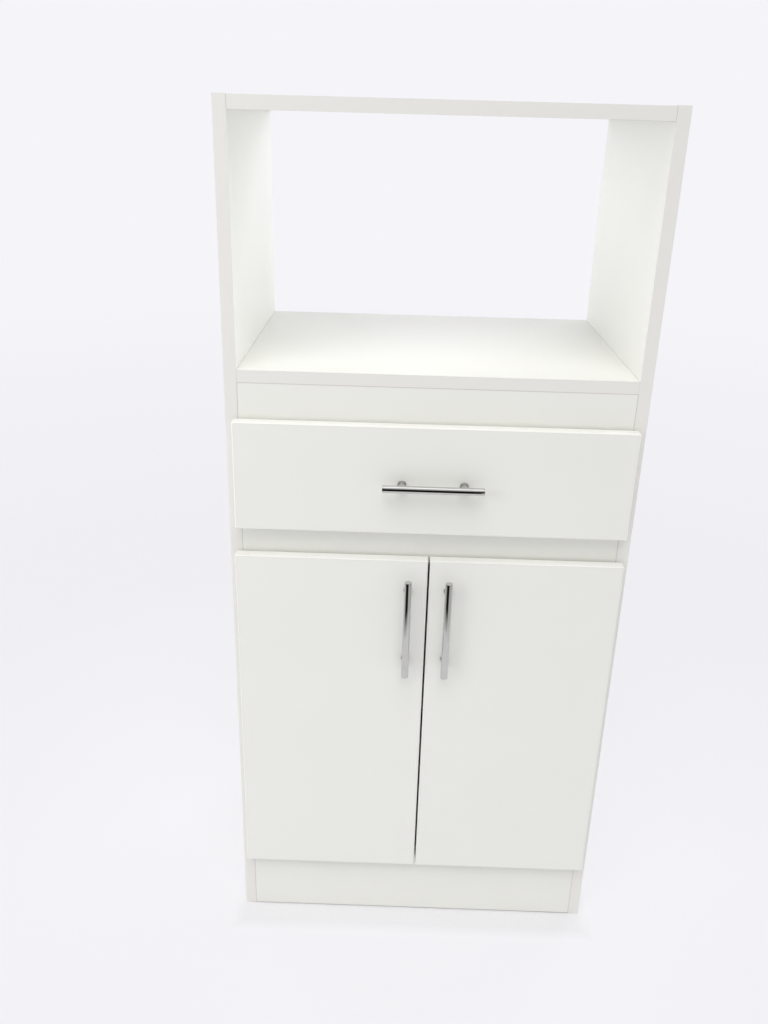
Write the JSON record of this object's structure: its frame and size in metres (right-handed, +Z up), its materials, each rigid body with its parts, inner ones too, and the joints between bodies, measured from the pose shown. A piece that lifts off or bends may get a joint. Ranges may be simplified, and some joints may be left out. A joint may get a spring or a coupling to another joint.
{
  "type": "microwave cabinet",
  "caption": "Tall narrow kitchen cabinet in white board with an open bay for a microwave oven, a bar-handled drawer below it and hinged doors over a shelved cupboard.",
  "frame": {"origin": "on the floor, under the middle of the cabinet's outline (handles included)", "axes": "+X to the right seen from the front, +Y from the front (doors) to the back, +Z up"},
  "size_m": [0.64, 0.5018, 1.43],
  "materials": {
    "white_board": "white melamine faced particle board, satin",
    "white_hardboard": "hardboard, white lacquer on the inner face",
    "beech": "unfinished fluted beech",
    "chrome": "polished",
    "zinc_steel": "zinc plated",
    "nickel_steel": "nickel plated",
    "white_steel": "white powder coat",
    "nylon": "natural white",
    "soft_pad": "translucent soft pad"
  },
  "bodies": {
    "carcass": {"arm_screws": "zinc_steel", "back_nails": "zinc_steel", "back_panel": "white_hardboard", "bottom_panel": "white_board", "cabinet_roller_rivets": "zinc_steel", "cabinet_runner_screws": "zinc_steel", "cam_bolts": "zinc_steel", "cam_locks": "zinc_steel", "front_bumpers": "soft_pad", "inner_shelf": "white_board", "kick_plate": "white_board", "left_cabinet_runner": "white_steel", "left_hinge_arms": "nickel_steel", "left_hinge_plates": "nickel_steel", "left_side_panel": "white_board", "microwave_shelf": "white_board", "middle_rail": "white_board", "plate_screws": "zinc_steel", "right_cabinet_runner": "white_steel", "right_hinge_arms": "nickel_steel", "right_hinge_plates": "nickel_steel", "right_side_panel": "white_board", "shelf_pins": "zinc_steel", "top_panel": "white_board", "upper_rail": "white_board", "wood_dowels": "beech"},
    "drawer": {"drawer_back": "white_board", "drawer_bottom": "white_hardboard", "drawer_box_screws": "zinc_steel", "drawer_cam_bolts": "zinc_steel", "drawer_cam_locks": "zinc_steel", "drawer_dowels": "beech", "drawer_front": "white_board", "drawer_handle_bar": "chrome", "drawer_handle_posts": "chrome", "drawer_handle_screws": "zinc_steel", "drawer_left_side": "white_board", "drawer_right_side": "white_board", "drawer_roller_rivets": "zinc_steel", "drawer_runner_screws": "zinc_steel", "left_drawer_runner": "white_steel", "right_drawer_runner": "white_steel"},
    "left_door": {"left_cup_screws": "zinc_steel", "left_door": "white_board", "left_handle_bar": "chrome", "left_handle_posts": "chrome", "left_handle_screws": "zinc_steel", "left_hinge_cups": "nickel_steel", "left_hinge_pins": "nickel_steel"},
    "right_door": {"right_cup_screws": "zinc_steel", "right_door": "white_board", "right_handle_bar": "chrome", "right_handle_posts": "chrome", "right_handle_screws": "zinc_steel", "right_hinge_cups": "nickel_steel", "right_hinge_pins": "nickel_steel"},
    "left_front_roller": {"left_front_roller": "nylon"},
    "left_rear_roller": {"left_rear_roller": "nylon"},
    "right_front_roller": {"right_front_roller": "nylon"},
    "right_rear_roller": {"right_rear_roller": "nylon"}
  },
  "joints": [
    {"name": "drawer_slide", "type": "slide", "parent": "carcass", "child": "drawer", "axis": [0, -1, 0], "range_m": [0, 0.3]},
    {"name": "left_door_hinge", "type": "hinge", "parent": "carcass", "child": "left_door", "pos_m": [-0.3031, -0.2134, 0.44235], "axis": [0, 0, -1], "range_deg": [0, 95]},
    {"name": "right_door_hinge", "type": "hinge", "parent": "carcass", "child": "right_door", "pos_m": [0.3031, -0.2134, 0.44235], "axis": [0, 0, 1], "range_deg": [0, 95]},
    {"name": "left_front_roller_spin", "type": "hinge", "parent": "carcass", "child": "left_front_roller", "pos_m": [-0.295, -0.1889, 0.8478], "axis": [1, 0, 0], "range_deg": [0, 1660]},
    {"name": "left_rear_roller_spin", "type": "hinge", "parent": "drawer", "child": "left_rear_roller", "pos_m": [-0.294, 0.1806, 0.846], "axis": [1, 0, 0], "range_deg": [0, 1660]},
    {"name": "right_front_roller_spin", "type": "hinge", "parent": "carcass", "child": "right_front_roller", "pos_m": [0.295, -0.1889, 0.8478], "axis": [1, 0, 0], "range_deg": [0, 1660]},
    {"name": "right_rear_roller_spin", "type": "hinge", "parent": "drawer", "child": "right_rear_roller", "pos_m": [0.294, 0.1806, 0.846], "axis": [1, 0, 0], "range_deg": [0, 1660]}
  ],
  "couplings": [
    {"joint": "left_front_roller_spin", "follows": "drawer_slide", "rad_per_m": 95.238},
    {"joint": "left_rear_roller_spin", "follows": "drawer_slide", "rad_per_m": 95.238},
    {"joint": "right_front_roller_spin", "follows": "drawer_slide", "rad_per_m": 95.238},
    {"joint": "right_rear_roller_spin", "follows": "drawer_slide", "rad_per_m": 95.238}
  ]
}
